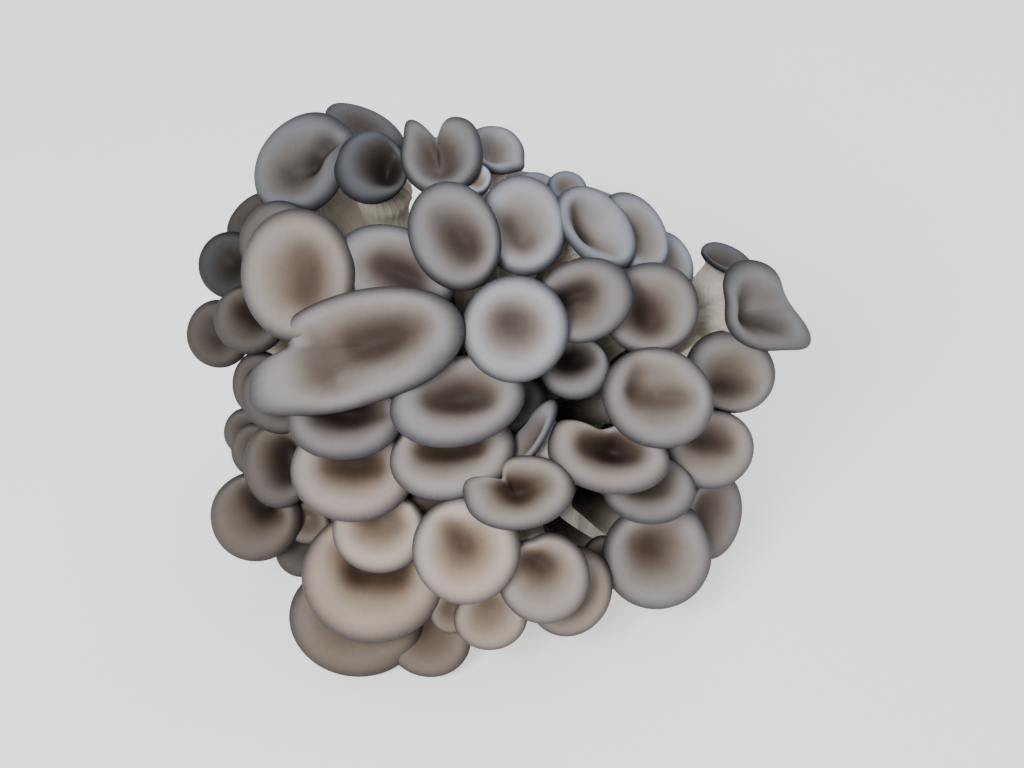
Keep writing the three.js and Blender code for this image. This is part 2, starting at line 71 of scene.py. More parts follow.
# The dome of the far side and its rows of caps, which vary by the spread.
BACK_MIDDLE = np.array([0.0, 0.0, 52.0])
BACK_REACH = np.array([106.0, 94.0, 104.0])
BACK_SPRAYS = 9
BACK_FROM = 14
BACK_TO = 158
BACK_STAGGER = 7
BACK_HALF = (21, 18)
BACK_NAVEL = 3
BACK_DISH = 5
BACK_STALK = 5.5
BACK_UPWARD = 0.55
BACK_SPREAD = {"azimuth": 2, "elevation": 3, "half": 0.14, "navel": 2, "turn": 40, "dish": 1.5, "stalk": 0.8}
BACK_ROWS = [
    {"elevation": -8, "scale": 1, "sprays": (0, 1, 2, 3, 4, 5, 6, 7, 8)},
    {"elevation": 19, "scale": 1.05, "sprays": (0, 1, 2, 3, 4, 5, 6, 7, 8)},
    {"elevation": 46, "scale": 1, "sprays": (2, 4)},
]

# The clump of grown-together stem ends, and the furrows between them.
CLUMP_MIDDLE = np.array([0.0, 0.0, 38.0])
CLUMP_SIDE = 58
CLUMP_TOP = 46
CLUMP_BELOW = 88
CLUMP_LUMP = 0.035
CLUMP_SIDES = 320
CLUMP_RINGS = 110
CLUMP_CUT_RINGS = 14
CLUMP_SINK = 0.6
FURROWS = 19
FURROW_DEPTH = 2.2
FURROW_WIDTH = 0.22
FURROW_SWAY = 0.16
# How dark the painted shade in the clump's furrows is.
CREASE_SHADE = 0.8
CREASE_CUT_RINGS = 3
ROOT_SINK = 6

# A mushroom's own form. Shares are of the way from the dish's middle to the margin, or down the stem.
USUAL_HALF = 20
USUAL_STALK = 6
CREST = 0.8
MARGIN_ROLL = 4
THICKNESS = 7
GILL_SHARE = 0.6
GILL_DROP = 0.8 * THICKNESS
NECK_DROP = 9
NECK_END = 0.12
STEM_PULL = 0.42
STEM_FLARE = (1.45, 1.0, 0.8)

# How finely a mushroom is made. One with a half width over LARGE has twice the rings and sides on top.
TOP_SIDES = 96
TOP_RINGS = 16
TOP_END = 0.97
TOP_CROWDING = 0.85
LARGE = 30
GILL_RINGS = 9
STEM_RINGS = 13
STEM_CROWDING = 1.15

# The lip's rings: each lies at a share of the way to the margin, so far under the top, and has its run.
LIP_THICK = 1.5
LIP_RINGS = [(0.993, 0.1, 0.99), (1.0, LIP_THICK * 0.45, 1.02), (0.99, LIP_THICK * 0.9, 1.06)]
LIP_INSIDE = 0.965

# The gills and the ridges of the stem. They fade in or out between two runs. Every second gill is a
# short one, and caps with a half width under GILLS_FULL have shallower gills.
GILLS = 48
GILL_DEPTH = 0.6
GILL_SHARPNESS = 1.6
GILLS_BEGIN = (1.08, 1.2)
GILLS_END = (2.0, 2.1)
GILLS_SINK = (1.45, 1.95)
GILLS_SUNK = 0.55
GILLS_FULL = 16
SHORT_GILLS_END = (1.5, 1.85)
STEM_RIDGE = 0.2
RIDGES_BEGIN = (1.9, 2.05)
RIDGES_END = (2.2, 2.75)

# The hairs low on the stems.
HAIR_RINGS = 12
HAIR_SIDES = 20
HAIR_REACH = (0.25, 0.95)
HAIRS = {"Density": 120000.0, "Length": 1.1 * MM, "Width": 0.045 * MM, "Seed": 11}

# How the finish differs from cap to cap: how dark the painted shade in a notch's valley is, and where each
# cap's streaks begin.
NOTCH_SHADE = 10
SPRAY_STEP = 0.37
CAP_STEP = 0.21
STREAK_REACH = 7

# The run of repeatable numbers, and the small waves that it gives each outline and top.
SEED = 20417
SEED_FACTOR = 16807
SEED_LIMIT = 2147483647
OUTLINE_WAVE = 0.02
TOP_WAVE = 1.1
WAVE_WIDTH = 32

# The table, and the light round it: each lamp's place in metres, its width, its watts and its colour.
TABLE_WIDTH = 8000
TABLE_GLOW = 0.75
LIGHT_AIM = (0, 0, 0.07)
LIGHTS = {
    "key_light": ((-0.5, -1.05, 1.05), 0.7, 24, (1.0, 0.99, 0.975)),
    "top_light": ((0.3, 0.2, 1.7), 1.3, 12, (0.97, 0.98, 1.0)),
    "rim_light": ((0.6, 1.1, 0.9), 0.9, 5, (0.84, 0.91, 1.0)),
}
WORLD_COLOUR = (0.93, 0.95, 1.0)
WORLD_STRENGTH = 0.29


def head(at, half, turn, navel, lift=0, lean=(0, 0), dish=5, stalk=USUAL_STALK, bumps=(), folds=()):
    """One mushroom as it is seen: its cap's middle and its dish's middle in pixels, and its sizes."""
    return {
        "at": at, "half": half, "turn": turn, "navel": navel, "lift": lift, "lean": lean,
        "dish": dish, "stalk": stalk, "bumps": list(bumps), "folds": list(folds),
    }


# Bumps are (angle, share, width) of the outline, and folds (angle, drop, width) of the top.
SEEN = {
    "crown_1": [
        head((299, 160), (23.2, 17.8), 50, (291, 171), 6, (-8, -8), 6, 9,
             folds=[(38, 6, 22), (-15, -3, 25)]),
    ],
    "crown_2": [head((372, 163), (15, 14.5), 0, (386, 160), 1, (-2, 14), 10, 8, folds=[(35, 4, 25)])],
    "crown_3": [head((363, 124), (17.5, 8), -22, (360, 126), -6, (30, 0), 3, 5)],
    "crown_4": [
        head((441, 152), (16.5, 16), 0, (438, 164), 4, (-10, 0), 6,
             bumps=[(106, -0.42, 14), (130, 0.26, 18), (50, 0.1, 25)], folds=[(104, 6, 22)]),
    ],
    "crown_5": [
        head((496, 146), (12.2, 9), -22, (490, 152), -12, (15, 5), 4, 5, bumps=[(-38, 0.14, 14)]),
        head((474, 177), (7, 6.5), 0, (478, 180), -12, (5, 0), 2, 3),
    ],
    "crown_6": [head((454, 233), (21.6, 17.3), 112, (463, 240), 6, stalk=7)],
    "crown_7": [head((523, 222), (19.6, 17.2), 100, (522, 234), -3, (2, 0), stalk=7)],
    "crown_8": [head((599, 226), (19.4, 13), 133, (592, 224), -6, (5, 18), 9, folds=[(215, -3, 40)])],
    "crown_9": [
        head((537, 193), (11.5, 9.5), -20, (538, 196), -18, (18, 5), 3, 4),
        head((568, 185), (8, 6.5), -15, (568, 188), -14, (18, 10), 2, 3.5),
    ],
    "crown_10": [
        head((637, 231), (17.8, 12), 122, (643, 240), -12, (2, 12), stalk=5),
        head((671, 262), (13.5, 9.5), 115, (668, 266), -25, (0, 20), 3, 4),
    ],
    "right_1": [
        head((765, 308), (19.5, 15.5), -38, (757, 314), 6, (0, 18), 7, 6.5,
             bumps=[(-36, 0.28, 22), (38, -0.22, 28), (100, 0.14, 28), (178, -0.26, 38)],
             folds=[(10, 4, 22), (75, -3, 25), (-60, -2, 25)]),
        head((728, 256), (11.5, 5), -25, (717, 258), -6, (42, -8), 3, 5.5),
    ],
    "right_2": [head((734, 372), (18.2, 16.5), -20, (728, 380), -6, dish=4)],
    "right_3": [head((713, 449), (18, 16), 0, (712, 438), -6, (5, 3), 4.5)],
    "right_4": [head((716, 516), (18.5, 12), 80, (706, 508), -16, (0, 15), 4, 5)],
    "right_5": [head((651, 487), (18.6, 13.8), -5, (650, 478), -5, (22, 0))],
    "right_6": [head((660, 558), (21.8, 21.4), 0, (654, 545), -10, (4, 0), stalk=7, bumps=[(55, 0.1, 18)])],
    "middle_1": [head((653, 308), (19, 18), 20, (650, 318), dish=6, stalk=7)],
    "middle_2": [head((585, 300), (19.5, 16), 20, (572, 304), 4, dish=6, stalk=6.5)],
    "middle_3": [head((516, 329), (20.6, 20.4), 0, (514, 325), 8, stalk=7)],
    "middle_4": [head((661, 397), (21.9, 19.3), -20, (661, 392), 9, (6, 0), 7, 7)],
    "middle_5": [head((576, 366), (13.7, 12), 0, (574, 355), -12, (22, 0), stalk=5)],
    "middle_6": [
        head((352, 350), (42.2, 22.8), 16, (372, 342), 10, (6, -8), 8, 10,
             bumps=[(161, -0.22, 14), (221, 0.14, 18), (-70, -0.09, 28)], folds=[(161, 6, 20)]),
    ],
    "left_1": [head((295, 274), (26.2, 22.3), 95, (303, 276), 6, stalk=8)],
    "middle_7": [head((394, 270), (24.5, 17.2), -22, (400, 272), -5, stalk=7)],
    "middle_8": [
        head((610, 453), (23.8, 14.6), -10, (614, 443), 2, (22, 0), 9, 7,
             bumps=[(95, -0.25, 22), (135, 0.1, 20)], folds=[(95, 4, 25), (140, -3, 25)]),
    ],
    "middle_9": [
        head((457, 398), (26.2, 17), 12, (460, 390), 6, (22, 0), 7, 7),
        head((503, 403), (17, 12), 15, (500, 400), -14, (12, 0), 4, 5),
    ],
    "middle_10": [head((452, 451), (24.6, 17.6), 14, (450, 438), -3, (20, 0), 8, 7)],
    "middle_11": [head((527, 437), (17.5, 5), 57, (530, 436), -8, (34, -50), 3, 5.5)],
    "left_2": [
        head((274, 237), (16, 15), 40, (280, 245), -8, (0, -4), 4, 5.5),
        head((256, 216), (14.5, 8.8), 36, (257, 217), -18, (5, -8), 3, 4.5),
    ],
    "left_3": [head((228, 264), (13.5, 13.4), 90, (229, 262), -14, (0, -5), 4.5, 5)],
    "left_4": [head((246, 319), (14.5, 14), 0, (250, 312), -10, (4, -6), 4.5, 5)],
    "left_5": [head((215, 333), (13.2, 14), 0, (216, 330), -20, (4, -8), 4, 5)],
    "left_6": [
        head((276, 396), (15.5, 14.5), -30, (280, 390), -6, (5, -4), 3, 5),
        head((257, 384), (13.2, 11), 90, (260, 384), -18, (0, -6), 3, 5),
    ],
    "left_7": [head((275, 465), (17.3, 14), 90, (284, 456), -4, (4, -8), 6)],
    "left_8": [
        head((244, 433), (9.4, 10.2), 0, (246, 432), -24, (0, -8), 3, 4),
        head((252, 450), (9.5, 11), 0, (255, 448), -16, (0, -8), 3, 4),
    ],
    "left_9": [head((251, 518), (18.3, 18.2), 0, (257, 504), -4, (0, -4), 4.5)],
    "left_10": [
        head((304, 523), (10.5, 8.5), -20, (306, 518), -14, (5, 0), 3, 4),
        head((300, 552), (10.5, 11), 0, (304, 545), -18, (-4, -4), 3, 4),
    ],
    "front_1": [head((343, 416), (22.2, 16), 5, (345, 408), 5, (22, 0), 7, 7)],
    "front_2": [head((350, 468), (24.3, 20), 0, (352, 457), 0, (17, 0), 6, 7)],
    "front_3": [
        head((378, 530), (18.5, 16.5), 0, (382, 520), -3, (14, 0)),
        head((429, 526), (14.5, 15.5), 0, (434, 516), -14, (5, 0), 4, 5),
    ],
    "front_4": [head((371, 575), (28.6, 26.3), 0, (380, 558), -6, (13, 0), 7, 8)],
    "front_5": [
        head((520, 491), (21.2, 14.2), 8, (516, 488), 6, (18, 0), 6,
             bumps=[(130, -0.44, 14), (160, 0.12, 15)], folds=[(131, 3, 24)]),
    ],
    "front_6": [head((466, 551), (20.9, 20.9), 0, (462, 544), 8, (3, 0), stalk=7)],
    "front_7": [head((545, 580), (18, 18), 0, (541, 565), 4, dish=4.5, bumps=[(108, -0.1, 16)])],
    "skirt_1": [head((353, 622), (27, 23), -8, (354, 610), -11, (4, 0), 4.5)],
    "skirt_2": [
        head((428, 641), (17, 15.5), -10, (430, 630), -14, dish=4, stalk=5),
        head((450, 613), (8, 8.5), 0, (452, 608), -8, dish=2.5, stalk=3.5),
    ],
    "skirt_3": [head((491, 619), (14.5, 13), 10, (492, 607), -4, dish=4, stalk=5)],
    "skirt_4": [
        head((571, 593), (18.5, 16.5), 60, (572, 585), -10, dish=4, stalk=5),
        head((604, 565), (9, 11.5), 0, (604, 560), -24, dish=2.5, stalk=3.5),
    ],
}

# Grooves of the seen caps' tops: from one pixel to another, so deep and so wide in mm. A ridge has a
# depth under nought. A name is a spray's, with the number of its cap.
# The same depths paint shade into the grooves and light onto the ridges.
GROOVES = {
    ("crown_1", 0): [
        (342, 127, 322, 140, 2.4, 4), (322, 140, 306, 160, 3.2, 4), (306, 160, 286, 169, 2.6, 3.8),
        (360, 128, 331, 163, -1.5, 3.5),
    ],
    ("crown_2", 0): [(396, 132, 396, 170, 5, 7)],
    ("crown_4", 0): [(435, 138, 444, 160, 2.4, 5)],
    ("crown_6", 0): [(442, 216, 470, 248, 1.8, 6)],
    ("crown_7", 0): [(512, 222, 524, 236, 2, 4)],
    ("crown_8", 0): [
        (581, 208, 592, 231, 2.4, 3), (592, 231, 620, 250, 2, 3), (598, 214, 612, 226, -2.5, 6),
    ],
    ("right_1", 0): [
        (752, 288, 752, 314, 1.0, 3.6), (752, 317, 790, 328, 1.8, 3.6), (762, 310, 782, 306, -2, 3),
    ],
    ("right_2", 0): [(716, 387, 756, 387, 2, 4)],
    ("right_3", 0): [(692, 440, 730, 447, 2.5, 3.5)],
    ("right_5", 0): [(636, 486, 664, 488, 1.5, 4)],
    ("right_6", 0): [(640, 540, 662, 548, 1.2, 6)],
    ("middle_1", 0): [(637, 290, 655, 324, 2.5, 5)],
    ("middle_2", 0): [(554, 303, 586, 291, 3.5, 4.2), (560, 314, 578, 302, -1.2, 2.2)],
    ("middle_3", 0): [(508, 318, 526, 326, 1.5, 8)],
    ("middle_4", 0): [
        (643, 362, 638, 388, 3.0, 4), (640, 397, 690, 399, 1.8, 4.5), (652, 384, 682, 380, -1.2, 4),
    ],
    ("middle_5", 0): [(564, 357, 590, 354, 3.5, 4.5)],
    ("middle_6", 0): [
        (356, 343, 410, 322, 2.4, 7), (306, 340, 330, 384, 3.0, 9),
        (340, 372, 424, 358, -1.2, 5),
    ],
    ("middle_7", 0): [(384, 266, 412, 280, 2.5, 5)],
    ("middle_8", 0): [(592, 441, 634, 447, 3.5, 5), (614, 428, 618, 442, 2.5, 5)],
    ("middle_9", 0): [(436, 396, 482, 396, 3, 5)],
    ("middle_10", 0): [(428, 446, 474, 444, 4, 5)],
    ("left_1", 0): [(304, 254, 303, 294, 1.6, 5.5)],
    ("left_4", 0): [(244, 310, 258, 318, 3, 4)],
    ("left_7", 0): [(280, 450, 282, 474, 4, 4.5)],
    ("left_9", 0): [(246, 492, 258, 510, 3.5, 4), (258, 510, 276, 516, 1.5, 3)],
    ("front_1", 0): [(322, 408, 378, 408, 4, 5)],
    ("front_2", 0): [(332, 462, 374, 464, 3, 5)],
    ("front_3", 0): [(368, 520, 396, 522, 1.5, 5)],
    ("front_4", 0): [(340, 546, 356, 572, 2.5, 5), (356, 572, 396, 576, 3, 5)],
    ("front_6", 0): [(448, 526, 465, 547, 2.2, 4.5)],
    ("front_5", 0): [(507, 484, 520, 490, 2.2, 4), (520, 490, 544, 482, 2, 4.5)],
    ("front_7", 0): [(530, 560, 546, 570, 2.5, 4.5)],
}

# How light a cap is beside the usual one, partly its own tone and partly painted light and shade for where
# it sits in the cluster, how cool (over 1 its rim turns blue), and how dark its dish is from 0 to 1, its own
# brown with painted shadow from the caps above in some.
SHADES = {
    "crown_1": [(0.5, 1.2, 0.0)],
    "crown_2": [(0.32, 1.3, 1.0)],
    "crown_3": [(0.35, 1.2, 0.3)],
    "crown_4": [(0.58, 0.95, 0.0)],
    "crown_5": [(0.9, 1.2, 0.2), (1.5, 1.9, 0.5)],
    "crown_6": [(0.66, 0.85, 0.85)],
    "crown_7": [(1.05, 1.15, 0.25)],
    "crown_8": [(0.99, 1.35, 0.25)],
    "crown_9": [(0.72, 1.5, 0.2), (0.66, 1.9, 0.2)],
    "crown_10": [(0.9, 1.3, 0.3), (1.2, 1.5, 0.2)],
    "right_1": [(0.61, 0.8, 0.0), (0.3, 1.2, 0.6)],
    "right_2": [(0.74, 0.6, 0.45)],
    "right_3": [(0.86, 0.5, 0.5)],
    "right_4": [(0.6, 0.6, 0.4)],
    "right_5": [(0.76, 0.7, 0.35)],
    "right_6": [(0.8, 0.6, 0.7)],
    "middle_1": [(0.74, 0.7, 0.85)],
    "middle_2": [(0.66, 0.7, 0.95)],
    "middle_3": [(1.08, 1.05, 0.8)],
    "middle_4": [(0.81, 0.6, 0.15)],
    "middle_5": [(0.8, 0.9, 1.0)],
    "middle_6": [(0.8, 0.65, 0.7)],
    "middle_7": [(0.76, 0.85, 0.8)],
    "middle_8": [(0.95, 0.55, 1.0)],
    "middle_9": [(0.84, 0.75, 1.0), (0.24, 0.9, 1.0)],
    "middle_10": [(1.15, 0.6, 1.0)],
    "middle_11": [(0.85, 1.1, 0.6)],
    "left_1": [(0.82, 0.35, 0.55)],
    "left_2": [(0.36, 0.5, 0.8), (0.18, 0.6, 0.8)],
    "left_3": [(0.13, 1.0, 1.0)],
    "left_4": [(0.27, 0.35, 1.0)],
    "left_5": [(0.23, 0.3, 0.8)],
    "left_6": [(0.3, 0.5, 0.6), (0.26, 0.5, 0.6)],
    "left_7": [(0.33, 0.35, 1.0)],
    "left_8": [(0.27, 0.3, 0.6), (0.27, 0.3, 0.6)],
    "left_9": [(0.36, 0.2, 0.85)],
    "left_10": [(0.42, 0.2, 0.0), (0.22, 0.2, 0.6)],
    "front_1": [(0.68, 0.7, 1.0)],
    "front_2": [(1.1, 0.3, 0.9)],
    "front_3": [(1.3, 0.15, 0.2), (0.36, 0.3, 0.9)],
    "front_4": [(1.05, 0.0, 0.85)],
    "front_5": [(0.84, 0.45, 0.9)],
    "front_6": [(1.25, 0.2, 0.45)],
    "front_7": [(0.95, 0.35, 0.5)],
    "skirt_1": [(0.48, 0.05, 0.45)],
    "skirt_2": [(0.52, 0.0, 0.4), (0.62, 0.05, 0.4)],
    "skirt_3": [(1.0, 0.1, 0.4)],
    "skirt_4": [(0.84, 0.25, 0.4), (0.45, 0.3, 0.4)],
}

# The same for the far side, whose caps are cooler between two heights, the higher they stand.
BACK_LIGHT = 0.66
BACK_DARK = 0.75
BACK_COOL_FROM = 40
BACK_COOL_RISE = 110

drawn = SEED


def vary(amount):
    """The next of a repeatable run of numbers, from -amount to amount."""
    global drawn
    drawn = (drawn * SEED_FACTOR) % SEED_LIMIT
    return amount * ((2 * drawn) / SEED_LIMIT - 1)


def unit(vector):
    return vector / np.linalg.norm(vector)


def smooth(share):
    """A share that leaves 0 and reaches 1 gently."""
    return share * share * (3 - 2 * share)


def fade(low, high, values):
    """A smooth step from 0 at the low value to 1 at the high one."""
    return smooth(np.clip((values - low) / (high - low), 0, 1))


def waved(cap):
    """The cap with small waves of its own in its outline and its top."""
    bump = (vary(180), vary(OUTLINE_WAVE), WAVE_WIDTH)
    folds = [(vary(180), vary(TOP_WAVE), WAVE_WIDTH) for _ in range(2)]
    return {**cap, "bumps": cap["bumps"] + [bump], "folds": cap["folds"] + folds}


# Where the caps stand


def seen_point(at, near):
    """The point that the viewer sees at a pixel, so much nearer than the plane through the target."""
    scale = MM_PER_PIXEL * (VIEW_DISTANCE - near) / VIEW_DISTANCE
    across = (at[0] - PICTURE_MIDDLE[0]) * scale
    upward = (PICTURE_MIDDLE[1] - at[1]) * scale
    return VIEW_TARGET + RIGHT * across + UP * upward + TOWARD * near


def dome_at(at):
    """How near the dome is to the viewer at a pixel, and how it slopes there."""
    across = (at[0] - DOME_POLE[0]) * MM_PER_PIXEL
    upward = (DOME_POLE[1] - at[1]) * MM_PER_PIXEL
    reach = DOME_ABOVE if upward > 0 else DOME_BELOW
    rise = math.sqrt(1 - min(DOME_STEEPEST, (across / DOME_SIDE) ** 2 + (upward / reach) ** 2))
    height = DOME_NEAR - DOME_EDGE
    slope = (height * across / DOME_SIDE**2 / rise, height * upward / reach**2 / rise)
    return DOME_EDGE + height * rise, slope


def seen_place(cap):
    """A seen cap with its place in space: its middle, the way it faces, and its steps across and along."""
    near, slope = dome_at(cap["at"])
    middle = seen_point(cap["at"], near + cap["lift"])
    tilt = [min(MOST_TILT, max(-MOST_TILT, s * DOME_TILT)) for s in slope]
    up = math.atan(tilt[1]) + math.radians(cap["lean"][0])
    right = math.atan(tilt[0]) + math.radians(cap["lean"][1])
    facing = unit(TOWARD + RIGHT * math.tan(right) + UP * math.tan(up))
    ray = unit(middle - EYE)
    across, along = (step - ray * facing.dot(step) / facing.dot(ray) for step in (RIGHT, UP))
    navel = (
        (cap["navel"][0] - cap["at"][0]) * MM_PER_PIXEL,
        (cap["at"][1] - cap["navel"][1]) * MM_PER_PIXEL,
    )
    placed = {"middle": middle, "facing": facing, "across": across, "along": along, "navel": navel}
    return waved({**cap, **placed})


def back_cap(spray, row, step):
    """One cap of the far side, on its dome."""
    spread = BACK_SPREAD
    azimuth = math.radians(BACK_FROM + spray * step + vary(spread["azimuth"]))
    elevation = math.radians(row["elevation"] + vary(spread["elevation"]))
    outward = np.array([
        math.cos(elevation) * math.cos(azimuth),
        math.cos(elevation) * math.sin(azimuth),
        math.sin(elevation),
    ])
    middle = BACK_MIDDLE + outward * BACK_REACH - outward * (BACK_STAGGER if spray % 2 else 0)
    facing = unit(outward + np.array([0, 0, BACK_UPWARD]))
    across = unit(np.cross([0, 0, 1], facing))
    half = [size * row["scale"] * (1 + vary(spread["half"])) for size in BACK_HALF]
    navel = (vary(spread["navel"]), BACK_NAVEL + vary(spread["navel"]))
    own = {
        "turn": vary(spread["turn"]),
        "dish": BACK_DISH + vary(spread["dish"]),
        "stalk": BACK_STALK + vary(spread["stalk"]),
    }
    placed = {"middle": middle, "facing": facing, "across": across, "along": np.cross(facing, across)}
    return waved({**placed, **own, "half": half, "navel": navel, "bumps": [], "folds": []})


def back_sprays():
    """The sprays of the far side: in each, one cap of every row that grows there."""
    step = (BACK_TO - BACK_FROM) / (BACK_SPRAYS - 1)
    return {
        f"back_{i + 1}": [back_cap(i, row, step) for row in BACK_ROWS if i in row["sprays"]]
        for i in range(BACK_SPRAYS)
    }


# The form of one mushroom


def rises_at(rises, angles):
    """The sum at each angle of (angle, amount, width) rises."""
    total = np.zeros_like(angles)
    for at, amount, width in rises:
        off = (np.degrees(angles) - at + 180) % 360 - 180
        total += amount * np.exp(-((off / width) ** 2))
    return total


def angles_of(sides):
    return np.arange(sides) / sides * 2 * np.pi


def outline(cap, angles):
    """The margin's places in the cap's plane: an ellipse with its bumps and notches."""
    share = 1 + rises_at(cap["bumps"], angles)
    turn = math.radians(cap["turn"])
    x = share * cap["half"][0] * np.cos(angles - turn)
    y = share * cap["half"][1] * np.sin(angles - turn)
    return x * math.cos(turn) - y * math.sin(turn), x * math.sin(turn) + y * math.cos(turn)


def top_height(cap, angles, share):
    """How high the top stands over the cap's plane at a share of the way to the margin."""
    size = min(cap["half"]) / USUAL_HALF
    inner = min(1, share / CREST)
    outer = max(0, (share - CREST) / (1 - CREST))
    dish = cap["dish"] * (1 - smooth(inner))
    return -dish - MARGIN_ROLL * size * outer * outer - rises_at(cap["folds"], angles) * share * share


def notched(cap, angles):
    """How deep the outline's notches are at each angle."""
    return np.clip(-rises_at(cap["bumps"][:-1], angles), 0, 1)


def plane_places(cap, angles, share):
    """Where a ring lies in the cap's plane, as steps across and along."""
    x, y = outline(cap, angles)
    navel = cap["navel"]
    return navel[0] + share * (x - navel[0]), navel[1] + share * (y - navel[1])


def grooves_at(cap, angles, share):
    """How much the cap's own grooves sink its top, less towards the margin."""
    across, along = plane_places(cap, angles, share)
    total = np.zeros_like(across)
    for x1, y1, x2, y2, depth, width in cap.get("grooves", ()):
        start, end = (
            np.array([x - cap["at"][0], cap["at"][1] - y]) * MM_PER_PIXEL for x, y in ((x1, y1), (x2, y2))
        )
        way = end - start
        along_way = ((across - start[0]) * way[0] + (along - start[1]) * way[1]) / way.dot(way)
        along_way = np.clip(along_way, 0, 1)
        off = np.hypot(across - start[0] - along_way * way[0], along - start[1] - along_way * way[1])
        total += depth * np.exp(-((off / width) ** 2))
    return total * (1 - fade(CREST, 1, share))


def cap_ring(cap, angles, share, drop=0):
    """Points of the cap, so far out and so far under its top."""
    across, along = plane_places(cap, angles, share)
    height = top_height(cap, angles, share) - drop - grooves_at(cap, angles, share)
    return (
        cap["middle"]
        + across[:, None] * cap["across"]
        + along[:, None] * cap["along"]
        + height[:, None] * cap["facing"]
    )


def clump_reach(direction):
    """The way from the middle of the clump out to its skin."""
    flat = math.hypot(direction[0], direction[1])
    upright = CLUMP_TOP if direction[2] > 0 else CLUMP_BELOW
    azimuth = math.atan2(direction[1], direction[0])
    lump = 1 + CLUMP_LUMP * flat * (math.cos(5 * azimuth + 1) + math.cos(3 * azimuth))
    return lump / math.hypot(flat / CLUMP_SIDE, direction[2] / upright)


def neck_of(cap):
    """The point under the dish where the stem begins."""
    navel = cap["navel"]
    drop = cap["dish"] + THICKNESS * 0.5 + NECK_DROP * cap["stalk"] / USUAL_STALK
    return cap["middle"] + navel[0] * cap["across"] + navel[1] * cap["along"] - drop * cap["facing"]


def root_of(caps):
    """The point inside the clump's skin that a spray's stems run to."""
    ways = [unit(neck_of(cap) - CLUMP_MIDDLE) for cap in caps]
    direction = unit(sum(ways))
    direction[2] = min(way[2] for way in ways)
    direction = unit(direction)
    return CLUMP_MIDDLE + direction * (clump_reach(direction) - ROOT_SINK)


def stem_curve(cap, root):
    """The stem's course, as a function that gives its point and its direction at a share of the way."""
    neck = neck_of(cap)
    pull = np.linalg.norm(neck - root) * STEM_PULL
    inward = unit(CLUMP_MIDDLE - root)
    a, b, c, d = neck, neck - cap["facing"] * pull, root - inward * pull, root

    def course(t):
        u = 1 - t
        point = u**3 * a + 3 * u * u * t * b + 3 * u * t * t * c + t**3 * d
        way = 3 * u * u * (b - a) + 6 * u * t * (c - b) + 3 * t * t * (d - c)
        return point, unit(way)

    return course


def stem_radius(cap, t):
    """The stem's radius at a share of the way down: flared at the neck and thinner at the root."""
    neck, middle, end = STEM_FLARE
    if t < 0.5:
        share = middle + (neck - middle) * (1 - t / 0.5) ** 2
    else:
        share = middle + (end - middle) * smooth((t - 0.5) / 0.5)
    return cap["stalk"] * share


def stem_ring(cap, course, t, radius, angles):
    """A ring of points square to a stem, turned from the cap's plane by the least turn."""
    middle, way = course(t)
    turn = Vector(-cap["facing"]).rotation_difference(Vector(way))
    side = unit(cap["across"] - cap["facing"] * cap["across"].dot(cap["facing"]))
    other = np.cross(cap["facing"], side)
    side, other = (np.array(turn @ Vector(v)) for v in (side, other))
    spokes = np.cos(angles)[:, None] * side + np.sin(angles)[:, None] * other
    return middle + radius * spokes


def under_ring(cap, course, share, angles):
    """Points under the cap, from just inside its lip at 0 to the neck at 1, on a hollow curve."""
    lip = cap_ring(cap, angles, LIP_INSIDE, LIP_THICK)
    middle = cap_ring(cap, angles, GILL_SHARE, GILL_DROP)
    neck = stem_ring(cap, course, 0, stem_radius(cap, 0), angles)
    low = stem_ring(cap, course, NECK_END, stem_radius(cap, NECK_END), angles)
    if share < 0.5:
        t = share * 2
        start, end = lip, middle
        leave = middle - lip
        arrive = (neck - lip) * 0.5
    else:
        t = share * 2 - 1
        start, end = middle, neck
        leave = (neck - lip) * 0.5
        arrive = (low - neck) * 1.6
    a = 2 * t**3 - 3 * t**2 + 1
    b = t**3 - 2 * t**2 + t
    c = -2 * t**3 + 3 * t**2
    d = t**3 - t**2
    return a * start + b * leave + c * end + d * arrive


def mushroom_rings(cap, root):
    """The rings of a mushroom from the middle of its dish to its root, each with its run: 0 to 1 over
    the top, 1 to 2 in under the cap and 2 to 3 down the stem."""
    rings = []
    finer = 2 if max(cap["half"]) > LARGE else 1
    top = angles_of(TOP_SIDES * finer)
    count = TOP_RINGS * finer
    for k in range(1, count + 1):
        share = TOP_END * (k / count) ** TOP_CROWDING
        rings.append((cap_ring(cap, top, share), share))
    fine = angles_of(GILLS * 4)
    for share, drop, run in LIP_RINGS:
        rings.append((cap_ring(cap, fine, share, drop), run))
    course = stem_curve(cap, root)
    for k in range(GILL_RINGS):
        share = k / GILL_RINGS
        rings.append((under_ring(cap, course, share, fine), 1.1 + 0.9 * share))
    stem = angles_of(GILLS * 2)
    for k in range(STEM_RINGS):
        t = (k / (STEM_RINGS - 1)) ** STEM_CROWDING
        rings.append((stem_ring(cap, course, t, stem_radius(cap, t), stem), 2 + t))
    return rings


def strip_faces(first, count, second, after):
    """The faces between two rings, where one may have twice the points of the other."""
    if count == after:
        i = np.arange(count)
        j = (i + 1) % count
        return [(first + a, second + a, second + b, first + b) for a, b in zip(i, j)]
    faces = []
    if after == 2 * count:
        for k in range(count):
            n = (k + 1) % count
            a, b, c = second + 2 * k, second + 2 * k + 1, second + (2 * k + 2) % after
            faces += [(first + k, a, b), (first + k, b, first + n), (first + n, b, c)]
        return faces
    for k in range(after):
        n = (k + 1) % after
        a, b, c = first + 2 * k, first + 2 * k + 1, first + (2 * k + 2) % count
        faces += [(a, second + k, b), (b, second + k, second + n), (b, second + n, c)]
    return faces


